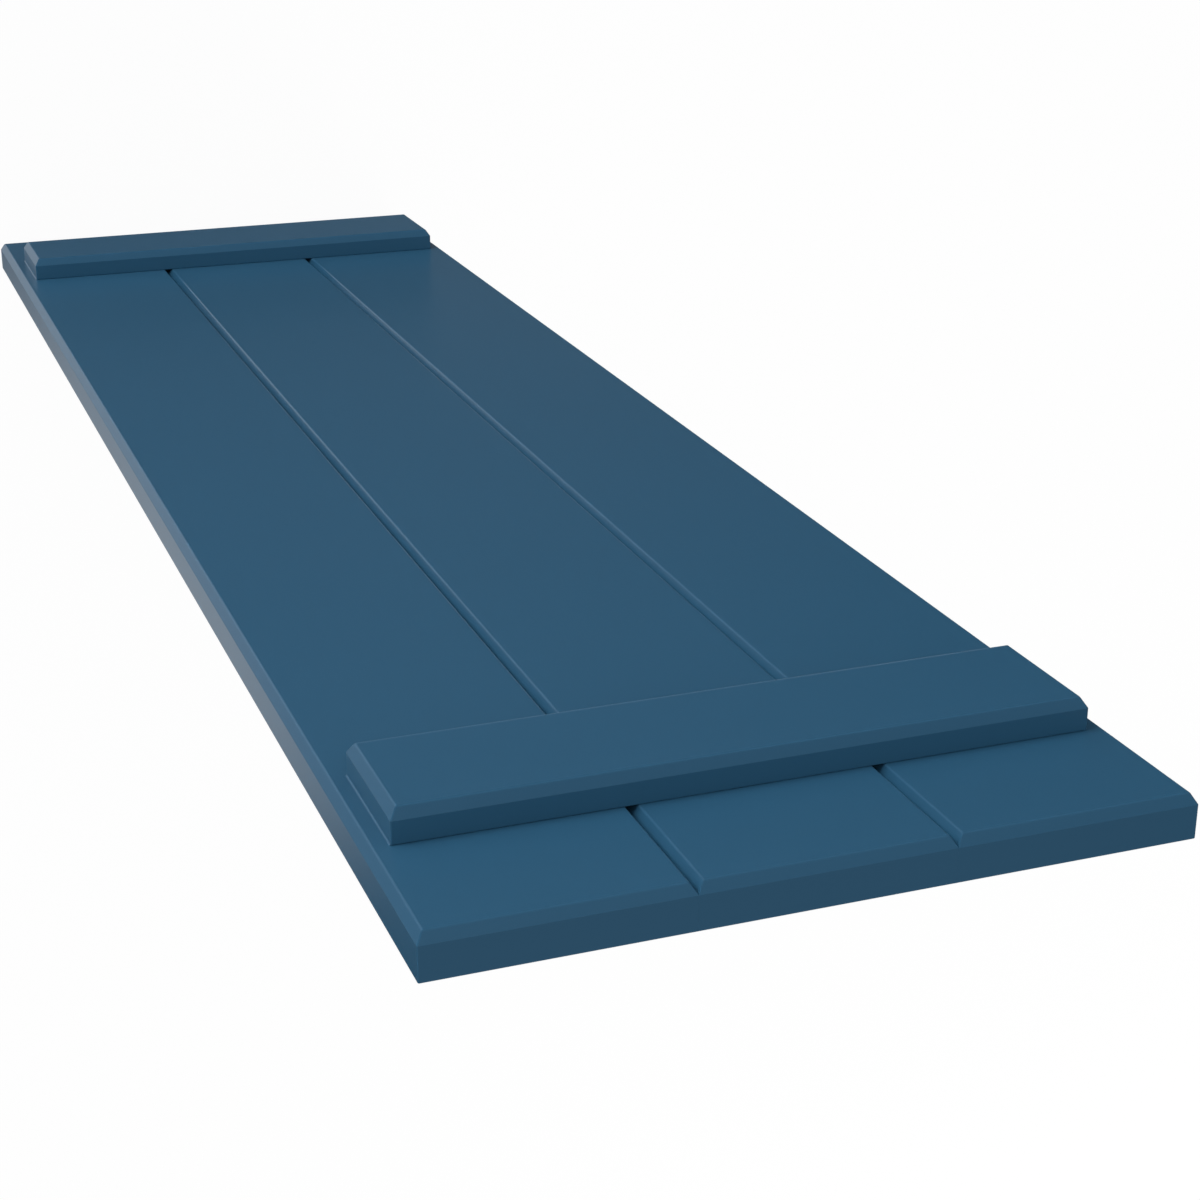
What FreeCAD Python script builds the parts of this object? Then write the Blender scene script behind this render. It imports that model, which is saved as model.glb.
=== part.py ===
import FreeCAD, Part
import Sketcher
import os

# Board and batten shutter, upright as it hangs beside a window.
# Three boards stand edge to edge, and two battens lie across their front near the ends.
# Screws driven from the back, through each board into the battens, hold it together.
# X runs across the shutter, Z runs up it, and its front looks along -Y.
# The origin is the middle of the flat back, which lies against the wall.

# Driving sizes, in millimetres and degrees: name, value, what it measures

SIZES = (
    ("board_width", 136.525, "width of one board"),
    ("board_thickness", 25.4, "thickness of a board, from its back to its front"),
    ("shutter_height", 1473.2, "length of the boards"),
    ("board_chamfer_width", 3.6, "board chamfer, seen from the front"),
    ("board_chamfer_depth", 6.1, "board chamfer, seen from the side"),
    ("batten_width", 83.5, "width of a batten, measured up the shutter"),
    ("batten_thickness", 19.05, "thickness of a batten, in front of the boards"),
    ("batten_side_inset", 12.7, "from the shutter's side to the end of a batten"),
    ("batten_end_offset", 86.0, "from the shutter's end to the nearer side of a batten"),
    ("batten_chamfer_width", 3.8, "batten chamfer, seen from the front"),
    ("batten_chamfer_depth", 6.1, "batten chamfer, seen from the side"),
    ("arris_radius", 0.7, "rounding of the free arrises, which lets them hold paint"),
    ("screw_spacing", 68.0, "between the two screws of a board, across the board"),
    ("screw_stagger", 30.0, "between the same two screws, up the board"),
    ("screw_cover", 5.4, "batten left between a pilot hole and the batten's front"),
    ("shank_diameter", 4.2, "screw shank, over its threads"),
    ("head_diameter", 8.4, "countersunk head of a screw"),
    ("head_angle", 82.0, "full angle of the countersunk head"),
    ("head_setback", 0.4, "depth of the head below the shutter's back"),
    ("recess_span", 4.0, "cross recess in the head, from tip to tip"),
    ("recess_slot", 1.1, "width of one slot of the recess"),
    ("recess_depth", 1.6, "depth of the recess"),
    ("head_clearance", 0.1, "gap round a head, measured across the screw"),
    ("shank_clearance", 0.2, "gap round a shank in its board"),
    ("pilot_clearance", 0.02, "gap round a shank in its batten"),
    ("end_clearance", 0.55, "gap between a screw's end and the bottom of its pilot hole"),
)

# Pieces by name, each with the step that places it. Left and right are as seen from the front.

BOARDS = (("left", -1), ("middle", 0), ("right", 1))
BATTENS = (("top", 1), ("bottom", -1))
SIDES = (-1, 1)

# Sizes worked out from the driving ones, as expressions

BATTEN_LENGTH = f"({len(BOARDS)} * Sizes.board_width - 2 * Sizes.batten_side_inset)"
BATTEN_HEIGHT = "(Sizes.shutter_height / 2 - Sizes.batten_end_offset - Sizes.batten_width / 2)"
BOARD_HOLE = "(Sizes.shank_diameter + 2 * Sizes.shank_clearance)"
PILOT_HOLE = "(Sizes.shank_diameter + 2 * Sizes.pilot_clearance)"
PILOT_DEPTH = "(Sizes.batten_thickness - Sizes.screw_cover)"
SCREW_LENGTH = (
    f"(Sizes.board_thickness + {PILOT_DEPTH} - Sizes.end_clearance - Sizes.head_setback)"
)
HEAD_SLOPE = "tan(Sizes.head_angle * 1 deg / 2)"
HEAD_CONE = f"((Sizes.head_diameter - Sizes.shank_diameter) / 2 / {HEAD_SLOPE})"
SINK_DIAMETER = (
    "(Sizes.head_diameter + 2 * Sizes.head_clearance"
    f" + 2 * Sizes.head_setback * {HEAD_SLOPE})"
)

# Two lengths closer than this are the same

NEAR = 0.001


def start_document():
    """Makes the document and its sheet of driving sizes."""
    document = FreeCAD.newDocument("Shutter")
    sheet = document.addObject("Spreadsheet::Sheet", "Sizes")
    for row, (name, value, note) in enumerate(SIZES, start=1):
        sheet.set(f"A{row}", name)
        sheet.set(f"B{row}", str(value))
        sheet.set(f"C{row}", note)
        sheet.setAlias(f"B{row}", name)
    document.recompute()
    return document


def start_body(document, name, across="0", depth="0", height="0"):
    """Starts one piece, placed by expressions for its X, Y and Z."""
    body = document.addObject("PartDesign::Body", name)
    body.Label = name
    for axis, expression in (("x", across), ("y", depth), ("z", height)):
        body.setExpression(f"Placement.Base.{axis}", expression)
    return body


def origin_item(body, role):
    """One of the piece's own origin planes or axes."""
    return next(item for item in body.Origin.OriginFeatures if item.Role == role)


def start_sketch(body, name, role):
    """Starts a sketch on one of the piece's own origin planes."""
    sketch = body.newObject("Sketcher::SketchObject", name)
    sketch.AttachmentSupport = [(origin_item(body, role), "")]
    sketch.MapMode = "FlatFace"
    return sketch


def value_of(sketch, expression):
    """The number that an expression gives now."""
    return float(sketch.evalExpression(expression))


def point_at(sketch, corner):
    """The point of the sketch that a pair of expressions gives."""
    return FreeCAD.Vector(value_of(sketch, corner[0]), value_of(sketch, corner[1]), 0)


def dimension(sketch, expression, kind, *geometry):
    """Adds a dimension to the sketch and binds it to its expression."""
    constraint = Sketcher.Constraint(kind, *geometry, value_of(sketch, expression))
    number = sketch.addConstraint(constraint)
    sketch.setExpression(f"Constraints[{number}]", expression)


def tie_point(sketch, geometry, end, corner):
    """Dimensions a point of the sketch from its origin, across and up."""
    dimension(sketch, corner[0], "DistanceX", -1, 1, geometry, end)
    dimension(sketch, corner[1], "DistanceY", -1, 1, geometry, end)


def draw_outline(sketch, corners):
    """Draws the closed outline through the corners, each a pair of expressions."""
    points = [point_at(sketch, corner) for corner in corners]
    for start, end in zip(points, points[1:] + points[:1]):
        sketch.addGeometry(Part.LineSegment(start, end), False)
    for number in range(len(points)):
        following = (number + 1) % len(points)
        sketch.addConstraint(Sketcher.Constraint("Coincident", number, 2, following, 1))
    for number, corner in enumerate(corners):
        tie_point(sketch, number, 1, corner)


def draw_circles(sketch, centres, diameter):
    """Draws one circle of a hole pattern at each centre."""
    upward = FreeCAD.Vector(0, 0, 1)
    for number, centre in enumerate(centres):
        radius = value_of(sketch, diameter) / 2
        sketch.addGeometry(Part.Circle(point_at(sketch, centre), upward, radius), False)
        tie_point(sketch, number, 3, centre)
        dimension(sketch, diameter, "Diameter", number)


def edges_where(shape, wanted):
    """Names of the edges of a shape whose bounding box passes a test."""
    return [
        f"Edge{number}"
        for number, edge in enumerate(shape.Edges, start=1)
        if wanted(edge.BoundBox)
    ]


def chamfered_plank(body, width, height, thickness, chamfer_width, chamfer_depth):
    """A plank with a square back and one chamfer round its whole front, mitred at the corners."""
    outline = start_sketch(body, "Outline", "XZ_Plane")
    left, right = f"-{width} / 2", f"{width} / 2"
    low, high = f"-{height} / 2", f"{height} / 2"
    draw_outline(outline, [(left, low), (right, low), (right, high), (left, high)])
    plank = body.newObject("PartDesign::Pad", "Plank")
    plank.Profile = outline
    plank.setExpression("Length", thickness)
    body.Document.recompute()
    front = plank.Shape.BoundBox.YMin
    chamfer = body.newObject("PartDesign::Chamfer", "FrontChamfer")
    chamfer.Base = (plank, edges_where(plank.Shape, lambda edge: edge.YMax < front + NEAR))
    chamfer.ChamferType = "Two distances"
    chamfer.setExpression("Size", chamfer_depth)
    chamfer.setExpression("Size2", chamfer_width)
    body.Document.recompute()
    return chamfer


def ease_arrises(body, base, wanted):
    """Rounds the chosen edges, as sanding and paint leave them."""
    easing = body.newObject("PartDesign::Fillet", "EasedArrises")
    easing.Base = (base, edges_where(base.Shape, wanted))
    easing.setExpression("Radius", "Sizes.arris_radius")
    body.Document.recompute()


def drill(body, sketch, name, diameter):
    """Drills into the piece from its back at each circle of the sketch, right through."""
    body.Document.recompute()
    hole = body.newObject("PartDesign::Hole", name)
    hole.Profile = sketch
    hole.Reversed = True
    hole.DepthType = "ThroughAll"
    hole.setExpression("Diameter", diameter)
    return hole


def screw_place(board, batten, side):
    """Where a screw goes, across and up: two to a board, staggered so the board can't turn."""
    across = f"({board} * Sizes.board_width + {side} * Sizes.screw_spacing / 2)"
    up = f"({batten} * ({BATTEN_HEIGHT} - {side} * Sizes.screw_stagger / 2))"
    return across, up


def make_board(document, name, step):
    """A board, drilled and countersunk from the back for the screws of both battens."""
    body = start_body(document, f"board_{name}", across=f"{step} * Sizes.board_width")
    chamfered = chamfered_plank(
        body,
        "Sizes.board_width",
        "Sizes.shutter_height",
        "Sizes.board_thickness",
        "Sizes.board_chamfer_width",
        "Sizes.board_chamfer_depth",
    )
    half_width = chamfered.Shape.BoundBox.XMax
    last_step = len(BOARDS) // 2
    seams = [side * half_width for side in SIDES if abs(step + side) <= last_step]

    def is_free(edge):
        """An edge that runs along or across the board, and isn't on a joint with the next one."""
        on_seam = any(abs(edge.XMin - x) + abs(edge.XMax - x) < NEAR for x in seams)
        return edge.YLength < NEAR and not on_seam

    ease_arrises(body, chamfered, is_free)
    places = start_sketch(body, "ScrewPlaces", "XZ_Plane")
    draw_circles(places, [screw_place(0, 1, side) for side in SIDES], BOARD_HOLE)
    holes = drill(body, places, "TopScrewHoles", BOARD_HOLE)
    holes.HoleCutType = "Countersink"
    holes.HoleCutCustomValues = True
    holes.setExpression("HoleCutDiameter", SINK_DIAMETER)
    holes.setExpression("HoleCutCountersinkAngle", "Sizes.head_angle")
    document.recompute()
    mirror = body.newObject("PartDesign::Mirrored", "BottomScrewHoles")
    mirror.Originals = [holes]
    mirror.MirrorPlane = (origin_item(body, "XY_Plane"), [""])
    body.Tip = mirror
    return body


def make_batten(document, name, end):
    """A batten, lying on the front of the boards, with a blind pilot hole for each screw."""
    body = start_body(
        document,
        f"batten_{name}",
        depth="-Sizes.board_thickness",
        height=f"{end} * {BATTEN_HEIGHT}",
    )
    chamfered = chamfered_plank(
        body,
        BATTEN_LENGTH,
        "Sizes.batten_width",
        "Sizes.batten_thickness",
        "Sizes.batten_chamfer_width",
        "Sizes.batten_chamfer_depth",
    )
    ease_arrises(body, chamfered, lambda edge: edge.YLength < NEAR)
    first_board = BOARDS[0][1]
    centres = []
    for side in SIDES:
        across, up = screw_place(first_board, end, side)
        centres.append((across, f"({up} - {end} * {BATTEN_HEIGHT})"))
    places = start_sketch(body, "ScrewPlaces", "XZ_Plane")
    draw_circles(places, centres, PILOT_HOLE)
    pilots = drill(body, places, "PilotHoles", PILOT_HOLE)
    pilots.DepthType = "Dimension"
    pilots.DrillPoint = "Flat"
    pilots.setExpression("Depth", PILOT_DEPTH)
    document.recompute()
    repeat = body.newObject("PartDesign::LinearPattern", "PilotHolesPerBoard")
    repeat.Originals = [pilots]
    repeat.Direction = (origin_item(body, "X_Axis"), [""])
    repeat.setExpression("Length", f"{len(BOARDS) - 1} * Sizes.board_width")
    repeat.Occurrences = len(BOARDS)
    body.Tip = repeat
    return body


def make_screw(document, name, board, batten, side):
    """A countersunk wood screw with a cross recess, driven from the back."""
    across, up = screw_place(board, batten, side)
    body = start_body(document, name, across=across, depth="-Sizes.head_setback", height=up)
    body.Placement.Rotation = FreeCAD.Rotation(FreeCAD.Vector(1, 0, 0), -90)
    profile = start_sketch(body, "Profile", "XZ_Plane")
    head, shank = "Sizes.head_diameter / 2", "Sizes.shank_diameter / 2"
    corners = [
        ("0", "0"),
        (head, "0"),
        (shank, f"-{HEAD_CONE}"),
        (shank, f"-{SCREW_LENGTH}"),
        ("0", f"-{SCREW_LENGTH}"),
    ]
    draw_outline(profile, corners)
    turned = body.newObject("PartDesign::Revolution", "Turned")
    turned.Profile = profile
    turned.ReferenceAxis = (profile, ["V_Axis"])
    turned.Angle = 360
    document.recompute()
    recess = start_sketch(body, "Recess", "XY_Plane")
    tip, slot = "Sizes.recess_span / 2", "Sizes.recess_slot / 2"
    quarter = [(tip, f"-{slot}"), (tip, slot), (slot, slot)]
    cross = []
    for _ in range(4):
        cross.extend(quarter)
        quarter = [(f"-({up})", across) for across, up in quarter]
    draw_outline(recess, cross)
    pocket = body.newObject("PartDesign::Pocket", "CrossRecess")
    pocket.Profile = recess
    pocket.setExpression("Length", "Sizes.recess_depth")
    return body


def make_screws(document, batten_name, batten):
    """The screws of one batten, numbered from left to right."""
    screws = []
    for _, board in BOARDS:
        for side in SIDES:
            name = f"{batten_name}_screw_{len(screws) + 1}"
            screws.append(make_screw(document, name, board, batten, side))
    return screws


def check(document, pieces):
    """Stops if any object of the document failed or any piece isn't one sound solid."""
    for item in document.Objects:
        if "Invalid" in item.State or "Error" in item.State:
            raise RuntimeError(f"{item.Label} could not be made: {item.State}")
    for piece in pieces:
        shape = piece.Shape
        if shape.isNull() or not shape.isValid() or len(shape.Solids) != 1:
            raise RuntimeError(f"{piece.Label} isn't one sound solid")


def main():
    """Makes every piece and writes each to a file of its own name."""
    document = start_document()
    pieces = [make_board(document, name, step) for name, step in BOARDS]
    for name, end in BATTENS:
        pieces.append(make_batten(document, name, end))
        pieces.extend(make_screws(document, name, end))
    document.recompute()
    check(document, pieces)
    os.makedirs("parts", exist_ok=True)
    for piece in pieces:
        piece.Shape.exportStep(f"parts/{piece.Label}.step")
        print(piece.Label, round(piece.Shape.Volume, 3))


main()
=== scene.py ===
# %% [markdown]
# # A board and batten shutter
# Three painted boards stand edge to edge, and two painted battens lie across their front. Screws
# driven from the back hold them together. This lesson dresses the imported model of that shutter:
# it gives each plank the soft, painted edges of the real one, turns the screws in finer detail,
# mixes the paint and the steel, and sets up a small studio.
#
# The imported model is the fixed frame. Its pieces say where everything goes, so no piece here is
# placed by eye. Every length below is in metres. X runs across the shutter and Z runs up it, and
# its front looks along -Y.

import bpy
import numpy as np
from mathutils import Matrix, Vector, geometry


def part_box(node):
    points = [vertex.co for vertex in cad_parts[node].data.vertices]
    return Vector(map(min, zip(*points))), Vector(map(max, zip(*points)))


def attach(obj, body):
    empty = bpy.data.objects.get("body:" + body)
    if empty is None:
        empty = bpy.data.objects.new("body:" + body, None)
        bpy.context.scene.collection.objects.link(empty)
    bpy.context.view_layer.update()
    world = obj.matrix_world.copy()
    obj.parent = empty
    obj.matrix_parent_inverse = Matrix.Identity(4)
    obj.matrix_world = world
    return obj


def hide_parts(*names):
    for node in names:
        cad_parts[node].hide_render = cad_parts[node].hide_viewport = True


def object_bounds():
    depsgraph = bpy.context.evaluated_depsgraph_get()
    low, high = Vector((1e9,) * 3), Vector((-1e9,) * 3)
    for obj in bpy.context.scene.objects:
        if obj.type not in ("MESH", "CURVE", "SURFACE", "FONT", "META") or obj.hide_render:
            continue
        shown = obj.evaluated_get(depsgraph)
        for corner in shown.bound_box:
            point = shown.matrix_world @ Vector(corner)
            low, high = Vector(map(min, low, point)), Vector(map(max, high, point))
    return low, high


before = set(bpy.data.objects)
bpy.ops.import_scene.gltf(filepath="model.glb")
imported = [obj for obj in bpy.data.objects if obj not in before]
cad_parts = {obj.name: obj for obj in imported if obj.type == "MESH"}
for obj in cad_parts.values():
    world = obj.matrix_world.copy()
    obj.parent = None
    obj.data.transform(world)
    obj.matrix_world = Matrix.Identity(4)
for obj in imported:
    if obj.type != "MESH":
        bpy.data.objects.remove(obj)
cad_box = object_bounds()
print("CAD box in mm:", [[round(1000 * value, 2) for value in corner] for corner in cad_box])

# %% [markdown]
# ## The sizes of the planks
# The boards and battens are stock trim with a chamfer run round the front. Length, width and
# thickness come from the frame. What the frame can't tell, how the edges are cut, is named here.
# Sanding and paint round every arris a little. Where two boards are glued edge to edge the arris
# stays crisp, so that the joint closes. Along the lower arris of a batten, and over a narrow strip of
# the front beside it, a paler blue is painted on as a highlight.

# %% Sizes of the edges
board_chamfer = (0.0036, 0.0061)    # across the front, down the side
batten_chamfer = (0.0038, 0.0061)
front_arris = 0.0018                # radius of the arris round a front face, sanded by hand
soft_arris = 0.0007                 # radius of the other arrises, softened by the paint alone
glued_arris = 0.00005               # radius of an arris in a glued joint
glued_back_arris = 0.0003           # the same joint at the back, where it shows as a fine line
# The strip of the front over which the painted highlight along a batten's lower arris fades out.
highlight_strip = 0.0016                 # width of the strip of the front that wears with an arris
arc_steps = 6                       # flat facets in a rounded arris

boards = ("board_left", "board_middle", "board_right")
battens = ("batten_top", "batten_bottom")


def size_of(node):
    """Width, thickness and height of a node's box."""
    low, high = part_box(node)
    return high - low


for node in boards + battens:
    print(node, "is", [round(1000 * value, 2) for value in size_of(node)], "mm")

# %% [markdown]
# ## Patches: surfaces as whole arrays
# A smooth surface can be modelled by hand, with loop cuts and bevels, or worked out from a formula.
# These planks are all straight lines and small arcs, so a formula is exact and short. Each patch is
# an array of points with the normal of the true surface at each point.

# %% Grids and patches
def grid_faces(rows, columns):
    """Quads of a grid that closes on itself along its columns: the corners of quad (i, j) are points
    (i, j), (i, j + 1), (i + 1, j + 1) and (i + 1, j), where column numbers wrap round."""
    row, column = np.meshgrid(np.arange(rows - 1), np.arange(columns), indexing="ij")
    following = (column + 1) % columns
    corners = (row * columns + column, row * columns + following,
               (row + 1) * columns + following, (row + 1) * columns + column)
    return np.stack(corners, axis=-1).reshape(-1, 4)


def patch(points, normals, faces, arris=0.0):
    """A piece of surface. Its faces are turned over if they look against its normals: the normal of a
    face is the cross product of two of its sides, compared with the normal given at its corner.
    Arris says how much paler the paint is, from 0 to 1, for thin paint and for painted highlights: one
    value, or one for each point."""
    points, normals = points.reshape(-1, 3), normals.reshape(-1, 3)
    first, second, third = (points[faces[:, k]] for k in range(3))
    facing = np.cross(second - first, third - second)
    if np.sum(facing * normals[faces[:, 0]]) < 0:
        faces = faces[:, ::-1]
    return {"points": points, "normals": normals, "faces": faces,
            "arris": np.broadcast_to(arris, len(points)).astype(float)}


print("a grid of 3 rows and 4 columns has", len(grid_faces(3, 4)), "quads")

# %% [markdown]
# ## The weld
# `weld` joins patches into one closed mesh wherever their points coincide, and keeps each patch's
# own normals, so that a sharp edge stays sharp and a rounded one shades as if it had no facets.
# Merge by Distance could close the mesh by hand. But every patch knows its exact normals, and here
# they are handed over in the same step.

# %% Weld patches into one mesh
def weld(name, patches, grain=1e-7):
    """Joins patches into one mesh. Points are equal if they match after rounding to the grain, and
    each corner of a face keeps the normal that its own patch gave it."""
    points = np.concatenate([part["points"] for part in patches])
    normals = np.concatenate([part["normals"] for part in patches])
    arris = np.concatenate([part["arris"] for part in patches])
    _, first, place = np.unique(np.round(points / grain).astype(np.int64), axis=0,
                                return_index=True, return_inverse=True)
    place = place.ravel()
    start, faces = 0, []
    for part in patches:
        faces.extend((part["faces"] + start).tolist())
        start += len(part["points"])
    mesh = bpy.data.meshes.new(name)
    mesh.from_pydata(points[first], [], [[int(place[corner]) for corner in face] for face in faces])
    mesh.shade_smooth()
    mesh.normals_split_custom_set(normals[np.concatenate(faces)])
    # The mask of paler paint: thin paint, and painted highlights on arrises and beads.
    wear_and_highlight_mask = mesh.attributes.new("arris", "FLOAT", "POINT")
    wear_and_highlight_mask.data.foreach_set("value", arris[first].astype(np.float32))
    piece = bpy.data.objects.new(name, mesh)
    bpy.context.scene.collection.objects.link(piece)
    return piece


print("helper ready: weld")

# %% [markdown]
# ## The edge of a plank
# Seen in section, the edge of a plank runs from the front face over the front arris, down the
# chamfer, over its shoulder, down the side and over the back arris. A bevel modifier could round
# these corners, with a bevel weight on each edge for its radius. But the same arcs have to say how
# thin the paint is, so each corner of the section is replaced by an arc that is tangent to both of
# its legs, worked out point by point.

# %% The section of an edge
def corner_arc(before, corner, after, radius):
    """An arc that rounds a corner of the section. Its centre lies on the bisector of the legs, at the
    radius divided by the sine of half their angle, and its ends are where it touches the legs.
    The normal of each point runs from the centre to it."""
    before, corner, after = (np.array(point, float) for point in (before, corner, after))
    leg_in = (before - corner) / np.linalg.norm(before - corner)
    leg_out = (after - corner) / np.linalg.norm(after - corner)
    half = np.arccos(np.clip(leg_in @ leg_out, -1, 1)) / 2
    bisector = (leg_in + leg_out) / np.linalg.norm(leg_in + leg_out)
    centre = corner + bisector * radius / np.sin(half)
    touch = corner + leg_in * radius / np.tan(half) - centre
    sweep = (np.pi - 2 * half) * np.linspace(0, 1, arc_steps + 1)
    turn = np.sign(touch[0] * -bisector[1] - touch[1] * -bisector[0])
    cosine, sine = np.cos(turn * sweep), np.sin(turn * sweep)
    spokes = np.stack([touch[0] * cosine - touch[1] * sine, touch[0] * sine + touch[1] * cosine], -1)
    return centre + spokes, spokes / radius


def edge_section(chamfer, thickness, arrises):
    """The section as inset from the side, depth below the front, and normal, from the front to the
    back: a strip of the front, then three arcs in a row, with straight runs between them. The ends
    of the outline lie further in, and only give the first and last leg a direction."""
    across, down = chamfer
    further_in = 10 * across
    outline = [(further_in, 0), (across, 0), (0, down), (0, thickness), (further_in, thickness)]
    arcs = [corner_arc(*outline[k:k + 3], radius) for k, radius in enumerate(arrises)]
    places = np.concatenate([points for points, _ in arcs])
    normals = np.concatenate([spokes for _, spokes in arcs])
    strip = places[:1] + (highlight_strip, 0)
    return np.concatenate([strip, places]), np.concatenate([normals[:1], normals])


free_arrises = (front_arris, soft_arris, soft_arris)
glued_arrises = (front_arris, glued_arris, glued_back_arris)
section, _ = edge_section(board_chamfer, size_of("board_left").y, free_arrises)
print("a board's edge has", len(section), "points in its section")

# %% [markdown]
# ## Where the paint is thin, and where highlights are painted
# Each point of the section also says how much paler the paint is there, from 0 to 1. On an upright
# arris it is partly thin paint and partly a painted highlight, and peaks in the middle of the arc. A
# level arris has hardly any, only thin paint. Along the lower arris of a batten it is full, and there
# it is a painted highlight alone. A shader could find the edges by itself, with a Bevel node or with
# Pointiness, but both find every edge alike. An attribute on the points says which edges, and how much.

# %% Thin paint and painted highlights round the section
# Upright arrises get more of the paler blue: thin paint, and a painted highlight along them.
middle_wear_and_highlight = 0.4       # in the middle of an upright arris
level_share = 0.2       # how much of that a level arris has

arc_share = np.linspace(0, 1, arc_steps + 1)
arris_hump = np.sin(np.pi * arc_share)
# How the painted highlight along the lower arris of a batten fades over the arc and the strip.
lower_highlight_fade = np.cos(np.pi / 2 * arc_share)
upright_wear_and_highlight = middle_wear_and_highlight * np.concatenate([[0], arris_hump, arris_hump, arris_hump])
level_wear = level_share * upright_wear_and_highlight
# Along the lower arris of a batten the paint is fully paler: a painted highlight there.
lower_highlight_and_wear = np.concatenate([[0], lower_highlight_fade, level_wear[1 + len(lower_highlight_fade):]])
# Prints the most of the paler-paint mask: thin paint with painted highlight, and the painted highlight
# of a lower arris.
print("thinnest paint, from 0 to 1:", upright_wear_and_highlight.max(), "upright,", lower_highlight_and_wear.max(), "rained on")

# %% [markdown]
# ## A plank
# The section is carried round the plank's rectangle, as a moulding is carried round a frame and
# mitred at the corners. At each corner the path turns through a small arc, which softens the
# mitre. A side that is glued to a neighbour has a section of its own, with crisp arrises, and the
# corner where it meets a free side is crisp up to the shoulder and softens over the chamfer.

# %% The edge carried round the plank
corner_turns = ((1, 1), (-1, 1), (-1, -1), (1, -1))     # across and up, anticlockwise from top right


def plank_edge(node, chamfer, glued=(), lower_highlight=False):
    """The chamfered edge of a plank. At a corner, the point of ring i at angle t of the turn is
    the rectangle's corner, moved in by the insets of both sides and the turn's radius, plus
    the radius times (cos t, sin t)."""
    low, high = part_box(node)
    middle, half = (low + high) / 2, (high - low) / 2
    free = edge_section(chamfer, high.y - low.y, free_arrises)
    joint = edge_section(chamfer, high.y - low.y, glued_arrises)
    turn = np.linspace(0, np.pi / 2, arc_steps + 1)
    points, normals, edge_wear_and_highlight = [], [], []
    for number, (across, up) in enumerate(corner_turns):
        is_glued = across in glued
        (side, side_normal), (end, end_normal) = (joint if is_glued else free), free
        # The lower end of a batten takes the painted highlight along its arris.
        end_wear_and_highlight = lower_highlight_and_wear if lower_highlight and up < 0 else level_wear
        softness = np.clip(side[:, 0] / chamfer[0], 0, 1) if is_glued else np.ones(len(side))
        radius = (glued_arris + (soft_arris - glued_arris) * softness)[:, None]
        share = turn / turn[-1]
        if number % 2:
            share = share[::-1]
        angle = turn + number * np.pi / 2
        cosine, sine = np.cos(angle)[None], np.sin(angle)[None]
        x = across * (half.x - side[:, :1] - radius) + radius * cosine
        z = up * (half.z - end[:, :1] - radius) + radius * sine
        depth = side[:, 1:] * (1 - share) + end[:, 1:] * share
        outward = -(side_normal[:, :1] * (1 - share) + end_normal[:, :1] * share)
        backward = side_normal[:, 1:] * (1 - share) + end_normal[:, 1:] * share
        points.append(np.stack([middle.x + x, low.y + depth, middle.z + z], -1))
        normals.append(np.stack([outward * cosine, backward, outward * sine], -1))
        edge_wear_and_highlight.append(upright_wear_and_highlight[:, None] * (1 - share) + end_wear_and_highlight[:, None] * share)
    points, normals = np.concatenate(points, 1), np.concatenate(normals, 1)
    normals /= np.linalg.norm(normals, axis=-1, keepdims=True)
    rings, columns = points.shape[:2]
    edge = patch(points, normals, grid_faces(rings, columns), np.concatenate(edge_wear_and_highlight, 1).ravel())
    return edge, points[0], points[-1]


trial, _, _ = plank_edge("batten_top", batten_chamfer)
print("the edge of a batten has", len(trial["faces"]), "quads")

# %% [markdown]
# ## Flat faces with holes
# The two flat faces of a plank fill the first and the last ring of its edge. Where screws pass
# through, a face has round holes. By hand, Fill would close such a face. Here a constrained Delaunay
# triangulation does it: it joins the rim of the face to the circles in it, and adds no points.

# %% The flat faces
inside_with_holes = 2       # the kind of triangulation: what lies inside the rim, without the holes
same_point = 1e-9           # points closer than this count as one


def flat_face(rim, circles, facing):
    """A flat face across the plank, at the depth of its rim, with round holes. The triangulation gets
    the rim and the circles as loops of points, and leaves out what lies inside two of them."""
    loops = [rim] + circles
    outline = np.concatenate(loops)
    starts = np.cumsum([0] + [len(loop) for loop in loops]).tolist()
    flat = [Vector((x, z)) for x, _, z in outline]
    numbers = [list(range(start, end)) for start, end in zip(starts, starts[1:])]
    _, _, triangles, sources, _, _ = geometry.delaunay_2d_cdt(
        flat, [], numbers, inside_with_holes, same_point)
    places = outline[[source[0] for source in sources]]
    return patch(places, np.tile((0.0, facing, 0.0), (len(places), 1)), np.array(triangles))


print("helper ready: flat_face")

# %% [markdown]
# ## Screw holes
# The screws go in from the back: through a countersunk hole in a board, and on into a blind pilot
# hole in a batten. Cutting them with a Boolean would work too, but each hole is a surface of
# revolution with a few straight walls, so its walls are made in place from a list of depths and
# radii, and the faces of the plank leave room for it. The screws are turned by the same helper.

# %% Turned surfaces
circle_steps = 48
sink_half_angle = np.radians(41)        # from the axis to the wall of a countersink
sink_slope = np.tan(sink_half_angle)    # radius lost for each metre of depth
sink_radius = 0.00465                   # of a countersink, at the back of a board
bore_radius = 0.0023                    # of the hole through a board
pilot_radius = 0.00212                  # of the blind hole in a batten
pilot_depth = 0.01365


def circle_at(place, depth, radius):
    """A circle round an axis along Y: place plus the radius times (cos t, sin t)."""
    turn = 2 * np.pi * np.arange(circle_steps) / circle_steps
    return np.stack([place[0] + radius * np.cos(turn), np.full(circle_steps, depth),
                     place[1] + radius * np.sin(turn)], -1)


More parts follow.
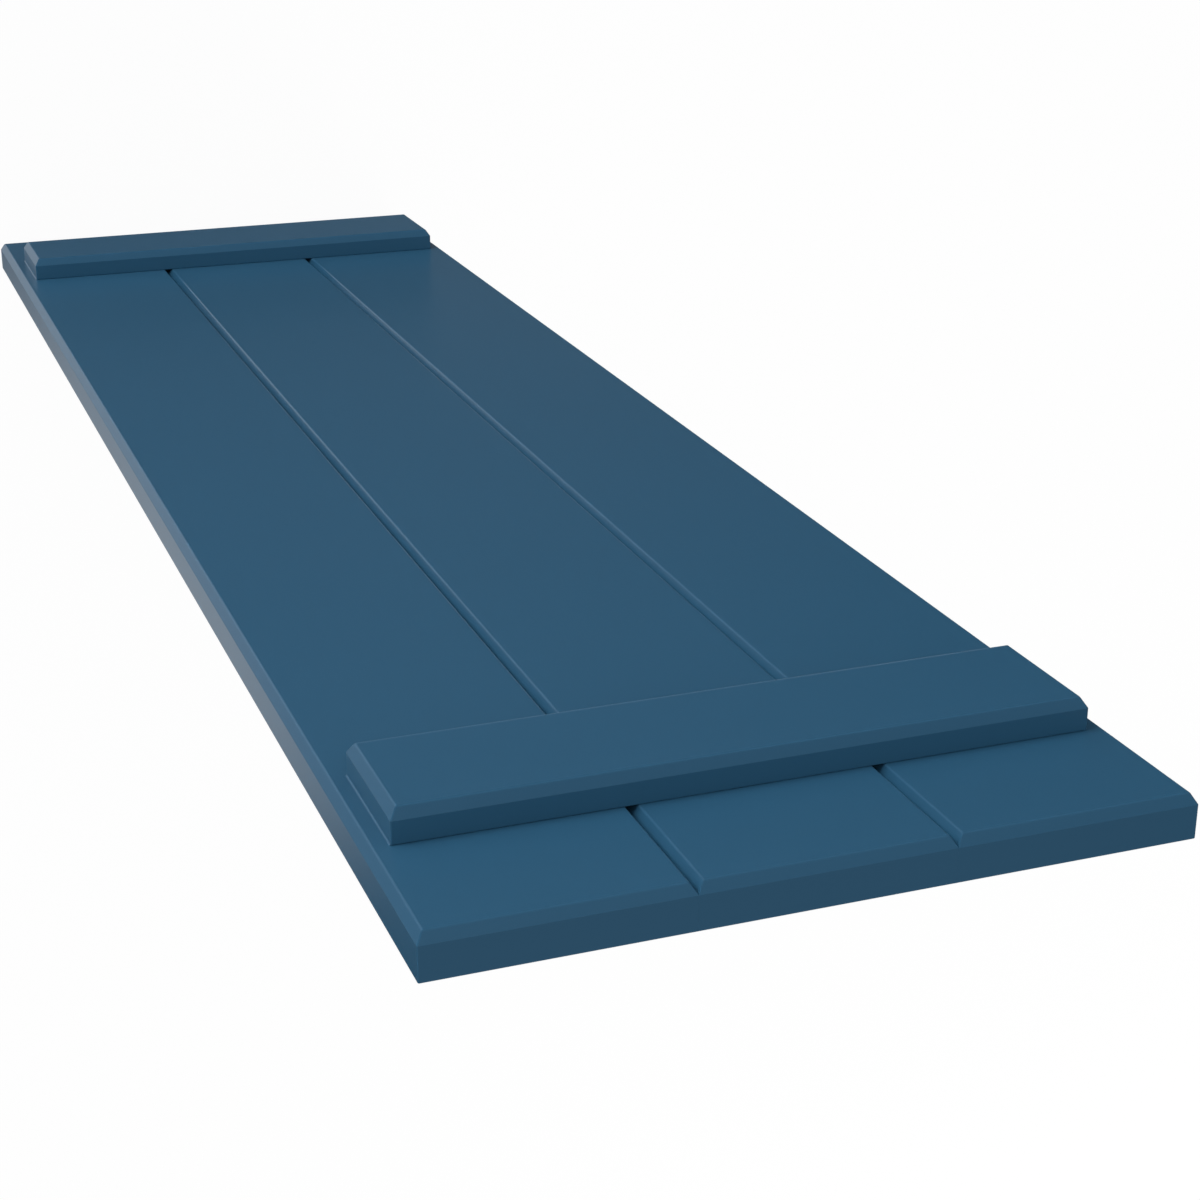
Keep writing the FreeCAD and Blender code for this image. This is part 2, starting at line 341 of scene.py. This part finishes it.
def turned(place, steps, side):
    """Walls turned round an axis along Y, from a list of (depth, radius). Each run between two steps is
    a cone or a cylinder, and its normal is square to the run. Side is 1 for a shaft, -1 for a hole."""
    turn = 2 * np.pi * np.arange(circle_steps) / circle_steps
    walls = []
    for (depth, radius), (next_depth, next_radius) in zip(steps, steps[1:]):
        points = np.stack([circle_at(place, depth, radius), circle_at(place, next_depth, next_radius)])
        run = np.array([next_radius - radius, next_depth - depth])
        run /= np.linalg.norm(run)
        across, along = (-run[1], run[0]) if -run[1] * side > 0 else (run[1], -run[0])
        normal = np.stack([across * np.cos(turn), np.full(circle_steps, along),
                           across * np.sin(turn)], -1)
        walls.append(patch(points, np.stack([normal, normal]), grid_faces(2, circle_steps)))
    return walls


print("a countersink is", round(2000 * sink_radius, 2), "mm wide at the back")

# %% [markdown]
# ## The boards
# A board is its edge, a back with four countersunk holes, a front with the four holes coming out
# of it under the battens, and the walls of the holes. The sides where it touches a neighbour are
# found by comparing its box with the box of the whole shutter.

# %% Where the screws go, and how a piece is handed over
screws = {f"batten_{end}": [f"{end}_screw_{number}" for number in range(1, 7)]
          for end in ("top", "bottom")}


def place_of(node):
    """Across and up of a screw's axis, half way between the corners of its node's box."""
    low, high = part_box(node)
    middle = (low + high) / 2
    return middle.x, middle.z


def dress(piece, nodes):
    """A finished piece rides on the shutter and stands in for its CAD nodes, which it hides."""
    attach(piece, "root")
    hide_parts(*nodes)
    print(piece.name, "has", len(piece.data.polygons), "faces")


print("screws in each batten:", {batten: len(names) for batten, names in screws.items()})

# %% Make the boards
def make_board(node):
    """One board with its chamfered edge, flat faces and screw holes."""
    low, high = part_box(node)
    shutter_low, shutter_high = cad_box
    gaps = ((-1, low.x - shutter_low.x), (1, shutter_high.x - high.x))
    glued = [side for side, gap in gaps if gap > soft_arris]
    places = [place_of(screw) for batten in battens for screw in screws[batten]]
    places = [place for place in places if low.x < place[0] < high.x]
    edge, front_rim, back_rim = plank_edge(node, board_chamfer, glued)
    cone_end = high.y - (sink_radius - bore_radius) / sink_slope
    hole = [(high.y, sink_radius), (cone_end, bore_radius), (low.y, bore_radius)]
    patches = [edge,
               flat_face(front_rim, [circle_at(place, low.y, bore_radius) for place in places], -1.0),
               flat_face(back_rim, [circle_at(place, high.y, sink_radius) for place in places], 1.0)]
    for place in places:
        patches += turned(place, hole, -1)
    board = weld(f"painted_{node}", patches)
    dress(board, [node])
    return board


painted = [make_board(node) for node in boards]

# %% [markdown]
# ## The battens
# A batten is the same kind of plank, laid across. All four of its sides are free, and its pilot
# holes end blind, each in a flat disc.

# %% Make the battens
def make_batten(node):
    """One batten with its chamfered edge, flat faces and pilot holes."""
    low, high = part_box(node)
    places = [place_of(screw) for screw in screws[node]]
    # Its lower arris takes the painted highlight.
    edge, front_rim, back_rim = plank_edge(node, batten_chamfer, lower_highlight=True)
    bottom = high.y - pilot_depth
    patches = [edge, flat_face(front_rim, [], -1.0),
               flat_face(back_rim, [circle_at(place, high.y, pilot_radius) for place in places], 1.0)]
    for place in places:
        patches += turned(place, [(high.y, pilot_radius), (bottom, pilot_radius)], -1)
        patches.append(flat_face(circle_at(place, bottom, pilot_radius), [], 1.0))
    batten = weld(f"painted_{node}", patches)
    dress(batten, [node])
    return batten


painted += [make_batten(node) for node in battens]

# %% [markdown]
# ## The beads of filler at the ends of a batten
# Where the end of a batten meets the boards, the painter draws a thin bead of filler into the corner
# with a fingertip, and paints over it. Its paint is drawn fully paler, partly thin paint and partly a
# painted highlight, so it shows as a pale line along the foot of that end. A bevel can't make it,
# because it belongs to both planks and to neither. It is a small hollow profile carried straight up
# the end.

# %% Carry the beads up the ends
bead_radius = 0.001
# The bead is drawn fully paler: thin paint and a painted highlight.
bead_paint_and_highlight = 1.0         # how thin the paint is on a bead, from 0 to 1


def bead_run(side, end_x, board_front, heights):
    """A bead up one end of a batten. Its hollow face, at angle t, is the bead's radius times (1 - cos t)
    out from the batten and (1 - sin t) forward of the boards, and its normal is (cos t, sin t)."""
    turn = np.linspace(0, np.pi / 2, arc_steps + 1)
    hollow = bead_radius * np.stack([1 - np.cos(turn), 1 - np.sin(turn)], -1)
    walls = ((hollow, np.stack([np.cos(turn), np.sin(turn)], -1)),
             (np.array([(bead_radius, 0.0), (0.0, 0.0)]), np.array([(0.0, -1.0), (0.0, -1.0)])),
             (np.array([(0.0, 0.0), (0.0, bead_radius)]), np.array([(-1.0, 0.0), (-1.0, 0.0)])))

    def raised(outline, height):
        """The outline's points at a height: out to the side, and forward towards -Y."""
        return np.stack([end_x + side * outline[:, 0], board_front - outline[:, 1],
                         np.full(len(outline), height)], -1)

    patches = []
    for outline, facing in walls:
        points = np.stack([raised(outline, height) for height in heights], 1)
        normal = np.stack([side * facing[:, 0], -facing[:, 1], 0 * facing[:, 0]], -1)
        strip = grid_faces(len(outline), 2)[::2]
        patches.append(patch(points, np.stack([normal, normal], 1), strip, bead_paint_and_highlight))
    loop = np.concatenate([hollow, [[0, 0]]])
    fan = np.array([(len(hollow), k, k + 1) for k in range(len(hollow) - 1)])
    for height, facing in zip(heights, (-1.0, 1.0)):
        normal = np.tile((0.0, 0.0, facing), (len(loop), 1))
        patches.append(patch(raised(loop, height), normal, fan, bead_paint_and_highlight))
    return patches


def make_beads(node):
    """The beads at both ends of a batten, as one piece."""
    low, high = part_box(node)
    heights = (low.z + soft_arris, high.z - soft_arris)
    patches = bead_run(-1, low.x, high.y, heights) + bead_run(1, high.x, high.y, heights)
    beads = weld(f"filler_beads_{node.removeprefix('batten_')}", patches)
    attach(beads, "root")
    print(beads.name, "has", len(beads.data.polygons), "faces")
    return beads


painted += [make_beads(node) for node in battens]

# %% [markdown]
# ## The screws
# Only the heads show, sunk a hair below the back, each with a cross recess that stopped at its own
# angle. A screw could be one spun outline, but the recess and the thread aren't round. So the head
# and shank are turned, and the recess joins a large cross to a smaller one further down.

# %% The head and its recess
head_radius = 0.0042
head_arris = 0.00012
cross_top = (0.0020, 0.00055)       # reach and half width of an arm, at the top of the recess
cross_bottom = (0.0008, 0.00035)    # the same at its floor
cross_depth = 0.0016


def cross_outline(place, depth, reach, half, angle):
    """The twelve corners of a cross with four equal arms, turned by an angle about the screw's axis.
    An arm reaches that far from the axis, and half is half its width."""
    flat = np.array([(reach, -half), (reach, half), (half, half), (half, reach),
                     (-half, reach), (-half, half), (-reach, half), (-reach, -half),
                     (-half, -half), (-half, -reach), (half, -reach), (half, -half)])
    cosine, sine = np.cos(angle), np.sin(angle)
    return np.stack([place[0] + flat[:, 0] * cosine - flat[:, 1] * sine, np.full(len(flat), depth),
                     place[1] + flat[:, 0] * sine + flat[:, 1] * cosine], -1)


def recess_walls(mouth, floor_loop):
    """Flat walls between two crosses. A wall's normal is the cross product of its top edge and of the
    way down, turned so that it looks to the left of the edge, which is into the recess."""
    walls = []
    for k in range(len(mouth)):
        following = (k + 1) % len(mouth)
        corners = np.stack([mouth[k], mouth[following], floor_loop[following], floor_loop[k]])
        edge, down = corners[1] - corners[0], corners[3] - corners[0]
        normal = np.cross(edge, down)
        normal /= np.linalg.norm(normal)
        if normal[0] * -edge[2] + normal[2] * edge[0] < 0:
            normal = -normal
        walls.append(patch(corners, np.tile(normal, (4, 1)), np.array([[0, 1, 2, 3]])))
    return walls


print("a recess is", 2000 * cross_top[0], "mm from tip to tip")

# %% [markdown]
# ## The thread
# The Screw modifier winds a thread as well, but leaves both of its ends to be closed by hand. Here
# the threaded end is a grid whose radius rises wherever depth and angle meet on the helix, and the
# same formula lets the thread start gently and narrows it to a point.

# %% The threaded end of a screw
shank_radius = 0.0021
root_radius = 0.00145
thread_pitch = 0.0018
thread_rows = 8         # rows of the grid in a pitch
crest_reach = 0.3       # from the top of a crest to its foot, in pitches
point_share = 0.25      # share of the threaded end that narrows to the point
blunt_share = 0.02      # share of the narrowing that is cut off, so that the tip is a small disc


def thread(place, start, end):
    """Threaded shaft from start down to end. At phase p, the depth in pitches less the angle in turns,
    wrapped to -1/2..1/2, the radius is the root plus the thread's height times 1 - |p| / reach near
    a crest. Its last share narrows to the point by the square root of what is left."""
    rows = int(round((start - end) / thread_pitch * thread_rows)) + 1
    circle = 2 * np.pi * np.arange(circle_steps) / circle_steps
    depth, turn = np.meshgrid(np.linspace(start, end, rows), circle, indexing="ij")
    pitches = (start - depth) / thread_pitch
    phase = (pitches - turn / (2 * np.pi)) % 1 - 0.5
    crest = np.clip(1 - np.abs(phase) / crest_reach, 0, 1) * np.clip(pitches, 0, 1)
    left = np.clip((depth - end) / (point_share * (start - end)), blunt_share, 1)
    radius = (root_radius + (shank_radius - root_radius) * crest) * np.sqrt(left)
    points = np.stack([place[0] + radius * np.cos(turn), depth, place[1] + radius * np.sin(turn)], -1)
    down = np.gradient(points, axis=0)
    wrapped = np.concatenate([points[:, -1:], points, points[:, :1]], 1)
    around = (wrapped[:, 2:] - wrapped[:, :-2]) / 2
    normals = np.cross(down, around)
    normals /= np.linalg.norm(normals, axis=-1, keepdims=True)
    outward = np.sum(normals * np.stack([np.cos(turn), 0 * turn, np.sin(turn)], -1))
    return patch(points, normals * np.sign(outward), grid_faces(rows, circle_steps)), points[-1]


print("a thread has", thread_rows, "rows to a pitch of", 1000 * thread_pitch, "mm")

# %% [markdown]
# ## Twelve screws
# The screws are alike, and could be linked copies of one. But their recesses stopped at twelve
# angles, and each stands for a node of its own, so each is made in its place. Turning every recess
# on from the last one by the golden angle keeps any two from looking the same.

# %% Make the screws
plain_share = 0.5       # share of the way from the cone to the tip that has no thread
narrowing = 0.0004      # length over which the shank goes down to the thread's root
golden_turn = np.radians(137.5)


def make_screw(node, angle):
    """One screw: arris of the head, cone, shank, thread and point, and the recess in its top."""
    low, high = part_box(node)
    place = place_of(node)
    cone_end = high.y - (head_radius - shank_radius) / sink_slope
    shoulder = cone_end - plain_share * (cone_end - low.y)
    shaft = [(high.y, head_radius - head_arris), (high.y - head_arris, head_radius),
             (cone_end, shank_radius), (shoulder, shank_radius), (shoulder - narrowing, root_radius)]
    threads, tip = thread(place, shoulder - narrowing, low.y)
    mouth = cross_outline(place, high.y, *cross_top, angle)
    recess_floor = cross_outline(place, high.y - cross_depth, *cross_bottom, angle)
    patches = turned(place, shaft, 1) + [threads, flat_face(tip, [], -1.0)]
    patches += [flat_face(circle_at(place, high.y, head_radius - head_arris), [mouth], 1.0),
                flat_face(recess_floor, [], 1.0)] + recess_walls(mouth, recess_floor)
    screw = weld(f"driven_{node}", patches)
    dress(screw, [node])
    return screw


names = [name for batten in battens for name in screws[batten]]
driven = [make_screw(name, number * golden_turn) for number, name in enumerate(names)]

# %% [markdown]
# ## An uneven film
# Neither sprayed paint nor plated steel is perfectly even: the film is a touch thicker here and
# thinner there. Both finishes use the same effect, so it is a node group, built once. It reads the
# place on the object and gives out a tone to multiply a colour by, a roughness and a height.

# %% The node group
def add_node(tree, kind, **settings):
    """A node with its settings, where a name such as in_Scale sets the input called Scale."""
    node = tree.nodes.new(kind)
    for name, value in settings.items():
        if name.startswith("in_"):
            node.inputs[name[3:].replace("_", " ")].default_value = value
        else:
            setattr(node, name, value)
    return node


film = bpy.data.node_groups.new("uneven_film", "ShaderNodeTree")
for name in ("Patch Scale", "Lowest Tone", "Highest Tone",
             "Lowest Roughness", "Highest Roughness", "Peel Scale"):
    film.interface.new_socket(name, in_out="INPUT", socket_type="NodeSocketFloat")
for name in ("Tone", "Roughness", "Peel"):
    film.interface.new_socket(name, in_out="OUTPUT", socket_type="NodeSocketFloat")
given, result = add_node(film, "NodeGroupInput"), add_node(film, "NodeGroupOutput")
coordinates = add_node(film, "ShaderNodeTexCoord")
patch_noise = add_node(film, "ShaderNodeTexNoise", in_Detail=2.0, in_Roughness=0.5)
peel_noise = add_node(film, "ShaderNodeTexNoise", in_Detail=1.0, in_Roughness=0.5)
for noise, scale in ((patch_noise, "Patch Scale"), (peel_noise, "Peel Scale")):
    film.links.new(coordinates.outputs["Object"], noise.inputs["Vector"])
    film.links.new(given.outputs[scale], noise.inputs["Scale"])
for name in ("Tone", "Roughness"):
    stretch = add_node(film, "ShaderNodeMapRange")
    film.links.new(patch_noise.outputs[0], stretch.inputs["Value"])
    film.links.new(given.outputs[f"Lowest {name}"], stretch.inputs["To Min"])
    film.links.new(given.outputs[f"Highest {name}"], stretch.inputs["To Max"])
    film.links.new(stretch.outputs["Result"], result.inputs[name])
film.links.new(peel_noise.outputs[0], result.inputs["Peel"])
given_out = [item.name for item in film.interface.items_tree if item.in_out == "OUTPUT"]
print("group", film.name, "gives", given_out)

# %% [markdown]
# ## The film before a shader
# Every finish starts from a bare material, and the film goes in front of its shader in the same
# way each time, so both are helpers. The film's height goes through a Bump node, because the peel
# is far too fine to be worth a mesh.

# %% Put the film before a shader
def new_material(name):
    """A material with its own node tree, empty but for the shader and the output."""
    material = bpy.data.materials.new(name)
    material.use_nodes = True
    return material, material.node_tree, material.node_tree.nodes["Principled BSDF"]


def add_film(tree, shader, colour, peel_height, **values):
    """Puts the film group before a shader: its tone multiplies the colour."""
    group = add_node(tree, "ShaderNodeGroup", node_tree=film)
    for name, value in values.items():
        group.inputs[name.replace("_", " ")].default_value = value
    tinted = add_node(tree, "ShaderNodeVectorMath", operation="SCALE")
    tinted.inputs[0].default_value = colour
    tree.links.new(group.outputs["Tone"], tinted.inputs["Scale"])
    bump = add_node(tree, "ShaderNodeBump", in_Strength=1.0, in_Distance=peel_height)
    tree.links.new(group.outputs["Peel"], bump.inputs["Height"])
    tree.links.new(group.outputs["Roughness"], shader.inputs["Roughness"])
    tree.links.new(bump.outputs["Normal"], shader.inputs["Normal"])
    return tinted.outputs["Vector"]


print("helpers ready: new_material, add_film")

# %% [markdown]
# ## The paint
# The real finish is a smooth satin coat of deep blue: one Principled shader with a plain colour and
# a fairly low roughness, which is what makes the sides turn pale where they mirror something white.
# The film group shifts its tone by a percent or two and bends it by a hair, like the peel of sprayed
# paint. Paint pulls thin over an arris and a bead, and the `arris` mask of the meshes mixes in a paler
# blue there. The same mask carries painted highlights as well: on upright arrises and on the beads,
# together with the thin paint, and along the lower arris of a batten, where it is a painted highlight
# alone.

# %% Mix the paint
paint_blue = (0.0238, 0.092, 0.168)
# The paler blue stands for thin paint and for painted highlights on the arrises and beads.
thin_paint_and_highlight_blue = (0.04, 0.115, 0.2)
paint_peel = 0.000002

paint, tree, shader = new_material("blue_satin_paint")
blue = add_film(tree, shader, paint_blue, paint_peel, Patch_Scale=5.0, Lowest_Tone=0.985,
                Highest_Tone=1.015, Lowest_Roughness=0.28, Highest_Roughness=0.3, Peel_Scale=250.0)
# The mask of thin paint and painted highlights mixes in the paler blue.
wear_and_highlight_mask = add_node(tree, "ShaderNodeAttribute", attribute_name="arris")
mixed = add_node(tree, "ShaderNodeMix", data_type="RGBA")
mixed.inputs["B"].default_value = (*thin_paint_and_highlight_blue, 1)
tree.links.new(wear_and_highlight_mask.outputs["Fac"], mixed.inputs["Factor"])
tree.links.new(blue, mixed.inputs["A"])
tree.links.new(mixed.outputs["Result"], shader.inputs["Base Color"])
for piece in painted:
    piece.data.materials.append(paint)
print(paint.name, "is on", len(painted), "pieces")

# %% [markdown]
# ## The steel
# The screws are zinc plated steel. Steel has no colour under its gloss, so the shader is fully
# metallic, and its base colour tints what it mirrors. The same film group makes the plating uneven.

# %% Mix the steel
plated_grey = (0.62, 0.62, 0.6)
plating_peel = 0.000003

steel, tree, shader = new_material("screw_steel")
shader.inputs["Metallic"].default_value = 1.0
grey = add_film(tree, shader, plated_grey, plating_peel, Patch_Scale=300.0, Lowest_Tone=0.85,
                Highest_Tone=1.05, Lowest_Roughness=0.25, Highest_Roughness=0.4, Peel_Scale=2500.0)
tree.links.new(grey, shader.inputs["Base Color"])
for screw in driven:
    screw.data.materials.append(steel)
print(steel.name, "is on", len(driven), "pieces")

# %% [markdown]
# ## The floor
# The photograph has a white background. More light would burn the shutter out, so the floor is a
# plain pale floor for the light, and mostly white for the camera: the Light Path node tells camera
# rays, and rays that come through glass, from the light that the floor throws on the shutter. A small
# share of the plain floor stays, and keeps the shadow.

# %% Tell the rays apart
def add_math(tree, operation, first, second):
    """One sum of two values, each a number or a socket."""
    node = add_node(tree, "ShaderNodeMath", operation=operation)
    for socket, value in zip(node.inputs, (first, second)):
        if isinstance(value, (int, float)):
            socket.default_value = value
        else:
            tree.links.new(value, socket)
    return node.outputs[0]


def seen_straight(tree):
    """The Light Path node, and 1 for rays from the camera or through glass, 0 for the rest."""
    rays = add_node(tree, "ShaderNodeLightPath")
    from_camera, through_glass = rays.outputs["Is Camera Ray"], rays.outputs["Is Transmission Ray"]
    return rays, add_math(tree, "MAXIMUM", from_camera, through_glass)


print("helpers ready: add_math, seen_straight")

# %% Make the floor
floor_half = 4.0
floor_grey = 0.9
floor_roughness = 0.8
shadow_share = 0.05     # of the plain floor, kept in what the camera sees

corners = np.array([(-1, -1, 0), (1, -1, 0), (1, 1, 0), (-1, 1, 0)]) * floor_half
corners[:, 2] = cad_box[0].z
floor_mesh = bpy.data.meshes.new("floor")
floor_mesh.from_pydata(corners, [], [(0, 1, 2, 3)])
floor = bpy.data.objects.new("floor", floor_mesh)
bpy.context.scene.collection.objects.link(floor)
floor.visible_glossy = False

floor_paint, tree, shader = new_material("pale_floor")
shader.inputs["Base Color"].default_value = (floor_grey, floor_grey, floor_grey, 1)
shader.inputs["Roughness"].default_value = floor_roughness
shader.inputs["Specular IOR Level"].default_value = 0.0
white = add_node(tree, "ShaderNodeEmission")
mix = add_node(tree, "ShaderNodeMixShader")
_, straight = seen_straight(tree)
tree.links.new(add_math(tree, "MULTIPLY", straight, 1 - shadow_share), mix.inputs["Fac"])
tree.links.new(shader.outputs[0], mix.inputs[1])
tree.links.new(white.outputs[0], mix.inputs[2])
tree.links.new(mix.outputs[0], tree.nodes["Material Output"].inputs["Surface"])
floor_mesh.materials.append(floor_paint)
print("the floor lies at z =", round(1000 * cad_box[0].z, 1), "mm")

# %% [markdown]
# ## What the paint mirrors
# Satin paint shows its gloss only by what it mirrors. A photographer sets white and black cards
# round a glossy object for that. Here the cards are painted on the sky instead. Only rays from a
# glossy surface see them, and those rays see neither the floor nor the lamps. A white card lies
# low, and ends in a sharp edge. A black one stands in front, on the -X side: seen from the
# photograph's camera, the front mirrors it and keeps its deep blue, while the side and the arrises
# look past it and turn pale. A second white card, behind the back, brightens the screws.
#
# A ramp over each axis of a ray's direction gives the strength of the low card, and the three
# multiply. Their stops were chosen by holding renders against the photograph, where the side at +X
# mirrors the card along its whole length. All other rays see an even sky.

# %% The cards
sky_strength = 0.58
card_strength = 1.44

# a stop is a part of a ray's direction, from -1 to 1, and the grey there
past_black = {"X": ((-0.08, 0.03), (0.02, 1.0)), "Y": ((-0.12, 0.03), (0.0, 1.0))}
low_card = {"X": ((-0.25, 1.0), (-0.1, 0.42), (0.0, 0.42), (0.28, 0.45), (0.34, 0.5), (0.42, 0.5),
                  (0.46, 0.07), (0.52, 0.02), (0.6, 0.0)),
            "Y": ((0.0, 1.0), (0.12, 0.9), (0.17, 0.3), (0.22, 0.4), (0.26, 0.85), (0.33, 1.05),
                  (0.42, 1.15)),
            "Z": ((-1.0, 0.9), (-0.95, 1.0), (-0.872, 1.0), (-0.869, 0.02), (-0.845, 0.0),
                  (-0.6, 0.0))}
back_card = ((0.55, 0.0), (0.75, 0.5))


def add_curve(tree, value, stops):
    """A grey ramp through stops of (value, grey)."""
    first, last = stops[0][0], stops[-1][0]
    fit = add_node(tree, "ShaderNodeMapRange", in_From_Min=first, in_From_Max=last)
    tree.links.new(value, fit.inputs["Value"])
    ramp = add_node(tree, "ShaderNodeValToRGB")
    for _ in stops[2:]:
        ramp.color_ramp.elements.new(0.5)
    for element, (place, _) in zip(ramp.color_ramp.elements, stops):
        element.position = (place - first) / (last - first)
    for element, (_, grey) in zip(ramp.color_ramp.elements, stops):
        element.color = (grey, grey, grey, 1)
    tree.links.new(fit.outputs["Result"], ramp.inputs["Fac"])
    return ramp.outputs["Color"]


print("stops of the low card:", {axis: len(stops) for axis, stops in low_card.items()})

# %% Paint the sky
world = bpy.data.worlds.new("studio")
bpy.context.scene.world = world
world.use_nodes = True
tree = world.node_tree
direction = add_node(tree, "ShaderNodeSeparateXYZ")
tree.links.new(add_node(tree, "ShaderNodeTexCoord").outputs["Generated"], direction.inputs[0])
clear = [add_curve(tree, direction.outputs[axis], stops) for axis, stops in past_black.items()]
card = add_math(tree, "MULTIPLY", add_math(tree, "MAXIMUM", *clear), card_strength)
for axis, stops in low_card.items():
    card = add_math(tree, "MULTIPLY", add_curve(tree, direction.outputs[axis], stops), card)
card = add_math(tree, "MAXIMUM", card, add_curve(tree, direction.outputs["Y"], back_card))
rays, straight = seen_straight(tree)
glossy = rays.outputs["Is Glossy Ray"]
seen = add_math(tree, "MAXIMUM", straight, glossy)
mirrored = add_math(tree, "MULTIPLY", glossy, card)
sky = add_math(tree, "MULTIPLY", add_math(tree, "SUBTRACT", 1.0, seen), sky_strength)
total = add_math(tree, "ADD", add_math(tree, "ADD", straight, mirrored), sky)
tree.links.new(total, tree.nodes["Background"].inputs["Strength"])
tree.nodes["Background"].inputs["Color"].default_value = (1, 1, 1, 1)
print("the world has", len(tree.nodes), "nodes")

# %% [markdown]
# ## The lamps
# The sky gives an even light from all around. A large soft lamp in front, on the +X side, adds to
# it. It is taller than the shutter, so that both ends get much the same light. One high above the
# top end lifts the faces that look up, and one behind, on the -X side, lights the back. Large lamps
# give soft edges to every shadow, and none of them shows in the gloss, which only the cards decide.

# %% Hang the lamps
def soft_lamp(name, place, aim, width, height, power):
    """A flat lamp that looks at a point."""
    light = bpy.data.lights.new(name, "AREA")
    light.shape = "RECTANGLE"
    light.size = width
    light.size_y = height
    light.energy = power
    lamp = bpy.data.objects.new(name, light)
    lamp.location = place
    lamp.rotation_euler = (Vector(aim) - Vector(place)).to_track_quat("-Z", "Y").to_euler()
    lamp.visible_glossy = False
    bpy.context.scene.collection.objects.link(lamp)
    return lamp


lamps = (
    soft_lamp("key_lamp", place=(3.3, -3.55, 0.35), aim=(0, 0, -0.3), width=2.0, height=2.1, power=145),
    soft_lamp("top_lamp", place=(0.3, -2.0, 6.0), aim=(0, 0, 0), width=3.0, height=3.0, power=62),
    soft_lamp("back_lamp", place=(-1.8, 3.0, 0.1), aim=(0, 0, 0), width=1.5, height=1.5, power=60),
)
print("lamps:", [lamp.name for lamp in lamps])

# %% [markdown]
# ## The camera
# The photograph looks steeply along the shutter from above its top end, with the front upwards. The
# camera's place, aim and lens were worked out from the corners that the photograph shows. It is
# built from three directions: ahead, to the right and up, with a slight roll about the first.

# %% Set up the camera
camera_place = Vector((0.447347, -0.540745, 1.611750))
camera_aim = Vector((-0.015108, -0.0254, 0.383017))
camera_roll = np.radians(-0.1757)
front_direction = Vector((0, -1, 0))    # upwards in the photograph

ahead = (camera_aim - camera_place).normalized()
right = ahead.cross(front_direction).normalized()
right.rotate(Matrix.Rotation(camera_roll, 3, ahead))
up = right.cross(ahead)
lens = bpy.data.cameras.new("camera")
lens.sensor_width = 36
lens.lens = 69.4767
lens.clip_start, lens.clip_end = 0.01, 100
camera = bpy.data.objects.new("camera", lens)
camera.matrix_world = Matrix((right, up, -ahead)).transposed().to_4x4()
camera.location = camera_place
bpy.context.scene.collection.objects.link(camera)
bpy.context.scene.camera = camera
bpy.context.scene.view_settings.view_transform = "Standard"
print("the camera is", round((camera_aim - camera_place).length, 3), "m from its aim")
